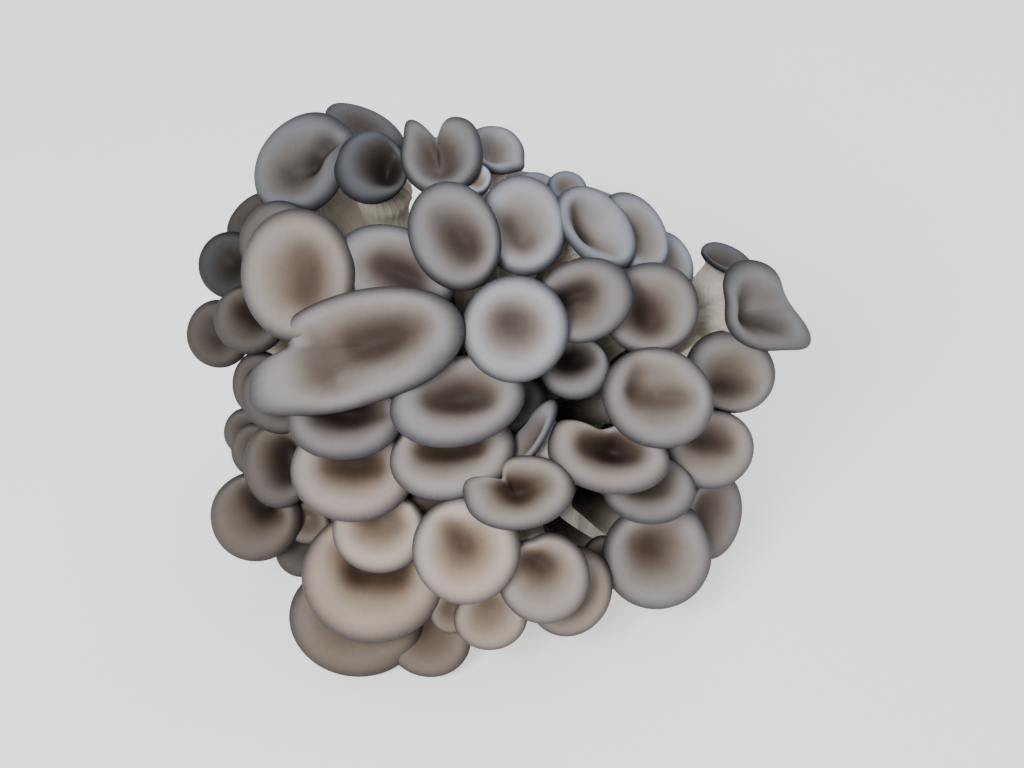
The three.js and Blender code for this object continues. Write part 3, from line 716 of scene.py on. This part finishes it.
def skin_faces(sizes):
    """The faces of a closed skin over rings of such sizes, from one end point to another."""
    first = 1
    faces = [(0, first + i, first + (i + 1) % sizes[0]) for i in range(sizes[0])]
    for count, after in zip(sizes, sizes[1:]):
        faces += strip_faces(first, count, first + count, after)
        first += count
    last = first + sizes[-1]
    faces += [(first + (i + 1) % sizes[-1], first + i, last) for i in range(sizes[-1])]
    return faces


def mesh_object(name, points, faces, floats=None, vectors=None):
    """A smooth mesh of points in mm, with named values on its points."""
    mesh = bpy.data.meshes.new(name)
    mesh.from_pydata((np.asarray(points) * MM).tolist(), [], faces)
    for key, values in (floats or {}).items():
        mesh.attributes.new(key, "FLOAT", "POINT").data.foreach_set("value", np.float32(values))
    for key, values in (vectors or {}).items():
        flat = np.float32(values).ravel()
        mesh.attributes.new(key, "FLOAT_VECTOR", "POINT").data.foreach_set("vector", flat)
    mesh.shade_smooth()
    piece = bpy.data.objects.new(name, mesh)
    bpy.context.scene.collection.objects.link(piece)
    return piece


def relief_at(cap, wave, runs):
    """How far the gills and the stem's ridges stand out at each point, in mm."""
    short = np.where((runs < 2) & (np.round(wave) % 2 == 1), 1 - fade(*SHORT_GILLS_END, runs), 1)
    under = fade(*GILLS_BEGIN, runs) * (1 - fade(*GILLS_END, runs))
    under = under * (1 - GILLS_SUNK * fade(*GILLS_SINK, runs))
    down = fade(*RIDGES_BEGIN, runs) * (1 - fade(*RIDGES_END, runs))
    size = min(1, min(cap["half"]) / GILLS_FULL)
    return (GILL_DEPTH * under * short + STEM_RIDGE * down) * size


def creases_at(cap, rings, count):
    """How much painted shade the grooves and notches lay on each point of a mushroom, with painted light on
    ridges, nought past its top.
    """
    creases = [grooves_at(cap, np.zeros(1), 0)]
    for ring, share in rings:
        if share < 1:
            angles = angles_of(len(ring))
            # Notches add painted shade along their valleys.
            creases.append(grooves_at(cap, angles, share) + NOTCH_SHADE * notched(cap, angles) * share)
    below = np.zeros(count - sum(len(values) for values in creases))
    return np.concatenate([*creases, below])


def spray_object(name, caps, tones):
    """One spray: its mushrooms as closed skins in one mesh, with what the finish and the gills need."""
    root = root_of(caps)
    points, faces, run, phase, relief, groove, spoke, tone = [], [], [], [], [], [], [], []
    for cap, own in zip(caps, tones):
        rings = mushroom_rings(cap, root)
        sizes = [len(ring) for ring, _ in rings]
        base = sum(len(block) for block in points)
        points.append(np.vstack([cap_ring(cap, np.zeros(1), 0), *(ring for ring, _ in rings), root[None]]))
        faces += [tuple(base + i for i in face) for face in skin_faces(sizes)]
        turn = np.concatenate([np.zeros(1), *(angles_of(size) for size in sizes), np.zeros(1)])
        around = turn / (2 * np.pi)
        runs = np.repeat([0, *(at for _, at in rings), 3.0], [1, *sizes, 1])
        wave = np.where(runs < 2, around * GILLS, around * GILLS / 2)
        run.append(runs)
        phase.append(wave)
        relief.append(relief_at(cap, wave, runs))
        groove.append(creases_at(cap, rings, len(runs)))
        spoke.append(np.column_stack([np.cos(turn), np.sin(turn), runs + STREAK_REACH * own[3]]))
        tone.append(np.tile(own[:3], (len(runs), 1)))
    return mesh_object(
        name,
        np.vstack(points),
        faces,
        {"run": np.concatenate(run), "gill_phase": np.concatenate(phase),
         "gill_relief": np.concatenate(relief) * MM, "groove": np.concatenate(groove)},
        {"spoke": np.vstack(spoke), "tone": np.vstack(tone)},
    )


# Geometry node trees


class Tree:
    """A node tree that is filled step by step."""

    def __init__(self, nodes, links):
        self.nodes = nodes
        self.links = links

    def node(self, kind, settings=None, out=0, **sockets):
        """A new node with its settings and its inputs. Returns the value of one of its outputs."""
        made = self.nodes.new(kind)
        for key, value in (settings or {}).items():
            if key == "stops":
                set_stops(made.color_ramp, value)
            else:
                setattr(made, key, value)
        self.feed(made, sockets)
        return Value(self, made.outputs[out])

    def feed(self, made, sockets):
        """Puts values or links on a node's inputs. The keys are the inputs' names, which may have
        underscores for spaces, or i0, i1 and so on by place."""
        for key, value in sockets.items():
            place = int(key[1:]) if key[0] == "i" and key[1:].isdigit() else key.replace("_", " ")
            if isinstance(value, Value):
                self.links.new(value.socket, made.inputs[place])
            elif value is not None:
                made.inputs[place].default_value = value


class Value:
    """A socket's value. Sums, differences, products and powers of values add their Math nodes."""

    def __init__(self, tree, socket):
        self.tree = tree
        self.socket = socket

    def out(self, name):
        return Value(self.tree, self.socket.node.outputs[name])

    def math(self, operation, first, second=None, clamp=False):
        settings = {"operation": operation, "use_clamp": clamp}
        return self.tree.node("ShaderNodeMath", settings, i0=first, i1=second)

    def __add__(self, other):
        return self.math("ADD", self, other)

    __radd__ = __add__

    def __sub__(self, other):
        return self.math("SUBTRACT", self, other)

    def __rsub__(self, other):
        return self.math("SUBTRACT", other, self)

    def __mul__(self, other):
        return self.math("MULTIPLY", self, other)

    __rmul__ = __mul__

    def __pow__(self, other):
        return self.math("POWER", self, other)

    def clamped(self, scale=1, most=1):
        """The value times a scale, held between nought and the most."""
        held = self.math("MULTIPLY", self, scale, clamp=True)
        return held if most == 1 else self.math("MINIMUM", held, most)

    def cosine(self):
        return self.math("COSINE", self)


def set_stops(ramp, stops):
    """Puts stops of a place and a colour on a ramp."""
    while len(ramp.elements) > 1:
        ramp.elements.remove(ramp.elements[-1])
    for i, (place, colour) in enumerate(stops):
        element = ramp.elements[0] if i == 0 else ramp.elements.new(place)
        element.position = place
        element.color = (*colour, 1)


def geometry_tree(name, inputs):
    """A geometry node tree with named inputs. Returns the group, its Tree and its input values."""
    group = bpy.data.node_groups.new(name, "GeometryNodeTree")
    group.interface.new_socket("Geometry", in_out="INPUT", socket_type="NodeSocketGeometry")
    group.interface.new_socket("Geometry", in_out="OUTPUT", socket_type="NodeSocketGeometry")
    for key, kind in inputs.items():
        group.interface.new_socket(key, in_out="INPUT", socket_type="NodeSocket" + kind)
    tree = Tree(group.nodes, group.links)
    entry = tree.node("NodeGroupInput")
    return group, tree, {key: entry.out(key) for key in ["Geometry", *inputs]}


def finish_tree(tree, geometry, material):
    """Ends a tree in real meshes with their material."""
    real = tree.node("GeometryNodeRealizeInstances", Geometry=geometry)
    done = tree.node("GeometryNodeSetMaterial", Geometry=real, Material=material)
    tree.links.new(done.socket, tree.nodes.new("NodeGroupOutput").inputs[0])


def grown(piece, group, values):
    """The plain mesh that a tree makes of a piece, put in the place of the piece's own mesh."""
    modifier = piece.modifiers.new(group.name, "NODES")
    modifier.node_group = group
    for item in group.interface.items_tree:
        if item.in_out == "INPUT" and item.name in values:
            modifier[item.identifier] = values[item.name]
    piece.update_tag()
    evaluated = piece.evaluated_get(bpy.context.evaluated_depsgraph_get())
    mesh = bpy.data.meshes.new_from_object(evaluated)
    piece.modifiers.clear()
    old = piece.data
    piece.data = mesh
    mesh.name = piece.name
    bpy.data.meshes.remove(old)
    return piece


def gill_tree():
    """Raises gills out of a smooth mushroom, along its normals."""
    group, tree, given = geometry_tree("gills", {"Sharpness": "Float", "Material": "Material"})
    phase = tree.node("GeometryNodeInputNamedAttribute", {"data_type": "FLOAT"}, Name="gill_phase")
    relief = tree.node("GeometryNodeInputNamedAttribute", {"data_type": "FLOAT"}, Name="gill_relief")
    wave = ((phase * (2 * math.pi)).cosine() * 0.5 + 0.5) ** given["Sharpness"]
    normal = tree.node("GeometryNodeInputNormal")
    offset = tree.node("ShaderNodeVectorMath", {"operation": "SCALE"}, Vector=normal, Scale=wave * relief)
    moved = tree.node("GeometryNodeSetPosition", Geometry=given["Geometry"], Offset=offset)
    finish_tree(tree, moved, given["Material"])
    return group


def hair_tree():
    """Fine short hairs on the faces that a value named hairy chooses."""
    inputs = {"Density": "Float", "Length": "Float", "Width": "Float", "Seed": "Int", "Material": "Material"}
    group, tree, given = geometry_tree("hairs", inputs)
    hairy = tree.node("GeometryNodeInputNamedAttribute", {"data_type": "FLOAT"}, Name="hairy")
    spots = tree.node(
        "GeometryNodeDistributePointsOnFaces", {"distribute_method": "RANDOM"},
        Mesh=given["Geometry"], Density=given["Density"] * hairy, Seed=given["Seed"],
    )
    cone = tree.node(
        "GeometryNodeMeshCone", Vertices=3, Radius_Top=0.0,
        Radius_Bottom=given["Width"], Depth=given["Length"],
    )
    stray = tree.node(
        "FunctionNodeRandomValue", {"data_type": "FLOAT_VECTOR"},
        i0=(-0.5, -0.5, 0), i1=(0.5, 0.5, 6.28), Seed=given["Seed"],
    )
    bent = tree.node(
        "FunctionNodeRotateRotation", {"rotation_space": "LOCAL"},
        Rotation=spots.out("Rotation"), Rotate_By=tree.node("FunctionNodeEulerToRotation", Euler=stray),
    )
    scale = tree.node(
        "FunctionNodeRandomValue", {"data_type": "FLOAT"}, i2=0.5, i3=1.3, Seed=given["Seed"], out=1,
    )
    hairs = tree.node(
        "GeometryNodeInstanceOnPoints", Points=spots, Instance=cone, Rotation=bent, Scale=scale,
    )
    finish_tree(tree, hairs, given["Material"])
    return group


# Finishes

# The stops are at a third of the run: 0 to 1 over the top, to 2 under the cap and to 3 down the stem. The
# top's last stops darken to a slate margin, partly its own colour and partly painted shade where the margin
# rolls under.
WARM_TOP = [
    (0.0, (0.074, 0.044, 0.028)),
    (0.06, (0.098, 0.062, 0.041)),
    (0.12, (0.165, 0.116, 0.080)),
    (0.18, (0.268, 0.208, 0.152)),
    (0.235, (0.335, 0.263, 0.212)),
    (0.268, (0.305, 0.241, 0.192)),
    (0.293, (0.222, 0.176, 0.142)),
    (0.312, (0.130, 0.104, 0.091)),
    (0.325, (0.070, 0.058, 0.056)),
    (0.337, (0.036, 0.031, 0.033)),
]
COOL_TOP = [
    (0.0, (0.074, 0.052, 0.044)),
    (0.06, (0.104, 0.078, 0.068)),
    (0.12, (0.176, 0.147, 0.131)),
    (0.18, (0.266, 0.246, 0.236)),
    (0.235, (0.317, 0.316, 0.332)),
    (0.268, (0.284, 0.286, 0.308)),
    (0.293, (0.206, 0.207, 0.222)),
    (0.312, (0.126, 0.127, 0.138)),
    (0.325, (0.070, 0.071, 0.080)),
    (0.337, (0.038, 0.038, 0.044)),
]
# Under the cap the stops are dark just inside the lip and towards the root: partly the stem's own browner
# base, partly painted shade under the cap and deep in the cluster.
BELOW = [
    (0.34, (0.14, 0.13, 0.135)),
    (0.37, (0.30, 0.28, 0.26)),
    (0.52, (0.44, 0.405, 0.36)),
    (0.64, (0.74, 0.69, 0.61)),
    (0.76, (0.66, 0.605, 0.52)),
    (0.82, (0.38, 0.34, 0.285)),
    (0.90, (0.11, 0.094, 0.076)),
    (1.0, (0.032, 0.027, 0.022)),
]
CLUMP_STOPS = [
    (0.35, (0.19, 0.175, 0.145)),
    (0.5, (0.30, 0.275, 0.235)),
    (0.65, (0.42, 0.395, 0.345)),
]

# The runs where a pale dish ends, where the blue of a cool rim begins and where the underside begins.
# Painted shade darkens the stems near the clump's middle, and the clump above a height, both in metres.
DISH_END = 0.62
BLUE_BEGINS = 0.45
UNDER_BEGINS = 1.03
STEMS_SHADED_WITHIN = 0.058
CLUMP_SHADED_ABOVE = 0.046


def material(name, colour):
    """A new material with its shader. Returns both and the Tree."""
    made = bpy.data.materials.new(name)
    made.use_nodes = True
    made.diffuse_color = (*colour, 1)
    shader = made.node_tree.nodes["Principled BSDF"]
    return made, shader, Tree(made.node_tree.nodes, made.node_tree.links)


def mixed(tree, share, first, second, blend="MIX"):
    """Two colours mixed by a share, with links or red, green and blue."""
    sockets = {"i0": share}
    for key, colour in (("i6", first), ("i7", second)):
        sockets[key] = colour if isinstance(colour, Value) else (*colour, 1)
    return tree.node("ShaderNodeMix", {"data_type": "RGBA", "blend_type": blend}, out=2, **sockets)


def attribute(tree, name, out="Fac"):
    return tree.node("ShaderNodeAttribute", {"attribute_name": name}, out=out)


def noise(tree, place, scale, detail, roughness=0.5, stretch=None):
    """Cloudy values about a half over a place, which may be stretched along its axes."""
    if stretch:
        place = tree.node("ShaderNodeMapping", Vector=place, Scale=stretch)
    return tree.node("ShaderNodeTexNoise", Vector=place, Scale=scale, Detail=detail, Roughness=roughness)


def ramp(tree, stops, share):
    return tree.node("ShaderNodeValToRGB", {"stops": stops}, Fac=share)


def bump(tree, strength, distance, height):
    return tree.node("ShaderNodeBump", Strength=strength, Distance=distance, Height=height)


def mushroom_flesh():
    """Satin cap skin that runs from a brown dish over a pale band to a thin slate margin, and cream gills
    and stem under it, with painted shade in grooves and notches, at the rolled margin and deep among the
    stems."""
    made, shader, tree = material("mushroom_flesh", (0.30, 0.28, 0.27))
    run = attribute(tree, "run")
    tones = tree.node("ShaderNodeSeparateXYZ", Vector=attribute(tree, "tone", "Vector"))
    shade, cool, dark = tones, tones.out("Y"), tones.out("Z")
    groove = attribute(tree, "groove")
    place = tree.node("ShaderNodeTexCoord", out="Object")
    cloud = noise(tree, place, 45.0, 3.0, 0.55)
    streaks = noise(tree, attribute(tree, "spoke", "Vector"), 9.0, 3.0, 0.6, (3.0, 3.0, 0.9))
    grain = noise(tree, place, 1400.0, 2.0)
    specks = noise(tree, place, 700.0, 3.0, 0.7)

    # The run drifts with clouds and streaks, on to the pale band in a pale dish, and back towards the dark
    # dish in a groove: painted shade, with painted light on a ridge.
    wander = (cloud - 0.5) * 0.22 * (1 - run).clamped() + (streaks - 0.5) * 0.05
    middle = (1 - run * (1 / DISH_END)).clamped()
    pale = (1 - dark) * 0.6 * middle * middle
    off_margin = ((1 - run) * 3).clamped()
    drift = (run + wander + pale - groove * 0.07 * off_margin) * (1 / 3)

    # The top is warm or cool in patches, blue at a cool rim, and scuffed in its dish.
    patches = (cool + (cloud - 0.5) * 0.9).clamped()
    top = mixed(tree, patches, ramp(tree, WARM_TOP, drift), ramp(tree, COOL_TOP, drift))
    blue = (cool - 1).clamped() * ((run - BLUE_BEGINS) * 2.5).clamped()
    top = mixed(tree, blue, top, (0.80, 0.97, 1.16), "MULTIPLY")
    scuffs = ((specks - 0.66) * 9).clamped() * ((0.3 - run) * 4).clamped()
    top = mixed(tree, scuffs * 0.4, top, (0.36, 0.33, 0.30))
    below = ramp(tree, BELOW, (run + (streaks - 0.5) * 0.2) * (1 / 3))
    under = ((run - UNDER_BEGINS) * 14).clamped()

    # The cap's own lightness, partly painted light and shade, the painted shade among the stems near the
    # clump's middle, the painted shadow in grooves and notches, and the fibres' streaks.
    clump_middle = (0.0, 0.0, float(CLUMP_MIDDLE[2]) * MM)
    way_out = tree.node("ShaderNodeVectorMath", {"operation": "DISTANCE"}, out=1, i0=place, i1=clump_middle)
    # Painted shade on the stems near the clump's middle, deep among the other stems.
    inside = (1 - (way_out - STEMS_SHADED_WITHIN) * 22).clamped() * under
    light = (shade + (1 - shade) * under * 0.75) * (1 - inside * 0.5)
    shadow = 1 - groove.clamped(0.14, 0.7) * (1 - run * 1.1).clamped()
    fibres = (streaks - 0.5) * 0.55 * under + (streaks - 0.5) * 0.14 + (cloud - 0.5) * 0.3 + 1
    colour = tree.node(
        "ShaderNodeVectorMath", {"operation": "SCALE"},
        Vector=mixed(tree, under, top, below), Scale=fibres * light * shadow,
    )
    rough = (cloud - 0.5) * 0.16 + 0.62 + under * 0.2
    height = streaks * (under * 0.5 + 0.05) + grain * 0.12 + cloud * 0.5
    tree.feed(shader, {
        "Base Color": colour,
        "Roughness": rough.clamped(),
        "Normal": bump(tree, 0.35, 0.0006, height),
        "Specular IOR Level": 0.22,
        "Subsurface Weight": 0.05,
        "Subsurface Radius": (0.003, 0.002, 0.0015),
        "Subsurface Scale": 1.0,
    })
    return made


def clump_flesh():
    """Cream-grey fibrous flesh of the grown-together stems, with painted shade in its creases and over its
    top among the stems.
    """
    made, shader, tree = material("clump_flesh", (0.62, 0.56, 0.45))
    place = tree.node("ShaderNodeTexCoord", out="Object")
    fibres = noise(tree, place, 220.0, 4.0, 0.6, (1.0, 1.0, 0.16))
    cloud = noise(tree, place, 38.0, 3.0, 0.6)
    light = ramp(tree, CLUMP_STOPS, fibres * 0.6 + cloud * 0.4)
    height = tree.node("ShaderNodeSeparateXYZ", Vector=place, out="Z")
    # Painted shade over the clump's top, among the stems.
    inside = ((height - CLUMP_SHADED_ABOVE) * 34).clamped()
    light = mixed(tree, inside * 0.9, light, (0.055, 0.045, 0.036))
    tree.feed(shader, {
        # Painted shade in the furrows between the fused stems.
        "Base Color": mixed(tree, attribute(tree, "crease") * 0.75, light, (0.13, 0.11, 0.088)),
        "Roughness": fibres * 0.25 + 0.6,
        "Normal": bump(tree, 0.5, 0.0008, fibres + cloud * 0.5),
        "Specular IOR Level": 0.3,
    })
    return made


def hair_flesh():
    made, shader, tree = material("stem_hairs", (0.75, 0.70, 0.60))
    cloud = noise(tree, tree.node("ShaderNodeTexCoord", out="Object"), 90.0, 2.0)
    colour = mixed(tree, cloud, (0.52, 0.46, 0.37), (0.80, 0.77, 0.70))
    tree.feed(shader, {"Base Color": colour, "Roughness": 0.85})
    return made


def table_top():
    """A pale matt table that glows a little, so that it stays near white round the cluster's shadow."""
    made, shader, tree = material("table_top", (0.9, 0.9, 0.89))
    cloud = noise(tree, tree.node("ShaderNodeTexCoord", out="Object"), 3.0, 2.0)
    tree.feed(shader, {
        "Base Color": mixed(tree, cloud, (0.86, 0.86, 0.86), (0.89, 0.89, 0.885)),
        "Roughness": 0.8,
        "Emission Color": (1, 1, 1, 1),
        "Emission Strength": TABLE_GLOW,
    })
    return made


# The clump


def clump_object():
    """The clump as a bundle of fused stem ends, cut flat under."""
    cut_angle = -math.asin(CLUMP_MIDDLE[2] / CLUMP_BELOW)
    angles = angles_of(CLUMP_SIDES)
    rings, creases = [], []
    for k in range(1, CLUMP_RINGS + 1):
        elevation = math.pi / 2 + (cut_angle - math.pi / 2) * k / CLUMP_RINGS
        directions = np.column_stack([
            math.cos(elevation) * np.cos(angles),
            math.cos(elevation) * np.sin(angles),
            np.full(CLUMP_SIDES, math.sin(elevation)),
        ])
        reach = np.array([clump_reach(way) for way in directions])
        flat = math.cos(elevation)
        sway = 0.5 * np.sin(2 * angles + 2.5 * elevation) + 0.35 * np.sin(5 * angles - 3 * elevation)
        ridge = np.abs(np.cos(FURROWS / 2 * (angles + FURROW_SWAY * sway)))
        groove = np.exp(-((ridge / FURROW_WIDTH) ** 2)) * flat
        points = CLUMP_MIDDLE + directions * (reach - CLUMP_SINK - FURROW_DEPTH * groove)[:, None]
        if k == CLUMP_RINGS:
            points[:, 2] = 0
        rings.append(points)
        # The furrows' depth, kept to paint shade into them.
        creases.append(CREASE_SHADE * groove)
    edge = rings[-1]
    for k in range(1, CLUMP_CUT_RINGS):
        share = 1 - k / CLUMP_CUT_RINGS
        rings.append(edge * [share, share, 0])
        creases.append(creases[CLUMP_RINGS - 1] * max(0, 1 - k / CREASE_CUT_RINGS))
    top = CLUMP_MIDDLE + [0, 0, CLUMP_TOP - CLUMP_SINK]
    points = np.vstack([top[None], *rings, np.zeros((1, 3))])
    crease = np.concatenate([np.zeros(1), *creases, np.zeros(1)])
    faces = skin_faces([len(ring) for ring in rings])
    return mesh_object("grown_together_clump", points, faces, {"crease": crease})


# The cluster


def placed_sprays():
    """The caps of every spray by its name, the seen ones first, each with its place and its look."""
    sprays = {}
    for name, caps in SEEN.items():
        sprays[name] = [
            seen_place({**cap, "grooves": GROOVES.get((name, i), ()), "look": SHADES[name][i]})
            for i, cap in enumerate(caps)
        ]
    for name, caps in back_sprays().items():
        sprays[name] = []
        for cap in caps:
            cool = float(np.clip((cap["middle"][2] - BACK_COOL_FROM) / BACK_COOL_RISE, 0, 1))
            sprays[name].append({**cap, "look": (BACK_LIGHT, cool, BACK_DARK)})
    return sprays


def stem_skin(sprays):
    """All stems as open tubes for the hairs to grow on, more of them towards the root."""
    points, faces, hairy = [], [], []
    count = 0
    for caps in sprays.values():
        root = root_of(caps)
        for cap in caps:
            course = stem_curve(cap, root)
            for k, t in enumerate(np.linspace(*HAIR_REACH, HAIR_RINGS)):
                points.append(stem_ring(cap, course, t, stem_radius(cap, t), angles_of(HAIR_SIDES)))
                hairy += [smooth(k / (HAIR_RINGS - 1))] * HAIR_SIDES
                if k:
                    faces += strip_faces(count - HAIR_SIDES, HAIR_SIDES, count, HAIR_SIDES)
                count += HAIR_SIDES
    return mesh_object("stem_hairs", np.vstack(points), faces, {"hairy": hairy})


sprays = placed_sprays()
flesh = mushroom_flesh()
cream = clump_flesh()
gills = gill_tree()
for number, (name, caps) in enumerate(sprays.items()):
    tones = [(*cap["look"], (number * SPRAY_STEP + i * CAP_STEP) % 1) for i, cap in enumerate(caps)]
    piece = spray_object(f"oyster_{name}", caps, tones)
    grown(piece, gills, {"Sharpness": GILL_SHARPNESS, "Material": flesh})
    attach(piece, "root")
    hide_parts(f"mushroom_{name}")

clump = clump_object()
clump.data.materials.append(cream)
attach(clump, "root")
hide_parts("clump")

hairs = stem_skin(sprays)
grown(hairs, hair_tree(), {**HAIRS, "Material": hair_flesh()})
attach(hairs, "root")

# The table, the light and the camera


def plane(name, width, made):
    """A square sheet on the ground."""
    half = width / 2
    corners = [(-half, -half, 0), (half, -half, 0), (half, half, 0), (-half, half, 0)]
    piece = mesh_object(name, corners, [(0, 1, 2, 3)])
    piece.data.materials.append(made)
    return piece


def soft_light(name, place, size, watts, colour):
    """A round lamp that looks at the cluster."""
    lamp = bpy.data.lights.new(name, "AREA")
    lamp.shape = "DISK"
    lamp.size = size
    lamp.energy = watts
    lamp.color = colour
    holder = bpy.data.objects.new(name, lamp)
    holder.location = place
    holder.rotation_euler = (Vector(LIGHT_AIM) - Vector(place)).to_track_quat("-Z", "Y").to_euler()
    bpy.context.scene.collection.objects.link(holder)


plane("table", TABLE_WIDTH, table_top())
for name, light in LIGHTS.items():
    soft_light(name, *light)

world = bpy.data.worlds.new("studio")
world.use_nodes = True
background = world.node_tree.nodes["Background"]
background.inputs["Color"].default_value = (*WORLD_COLOUR, 1)
background.inputs["Strength"].default_value = WORLD_STRENGTH
bpy.context.scene.world = world

lens = bpy.data.cameras.new("picture_view")
lens.sensor_width = SENSOR_WIDTH
lens.lens = SENSOR_WIDTH * VIEW_DISTANCE / (PICTURE_WIDTH * MM_PER_PIXEL)
camera = bpy.data.objects.new("picture_view", lens)
camera.location = EYE * MM
camera.rotation_euler = (math.pi / 2 - VIEW_ELEVATION, 0, 0)
bpy.context.scene.collection.objects.link(camera)
bpy.context.scene.camera = camera
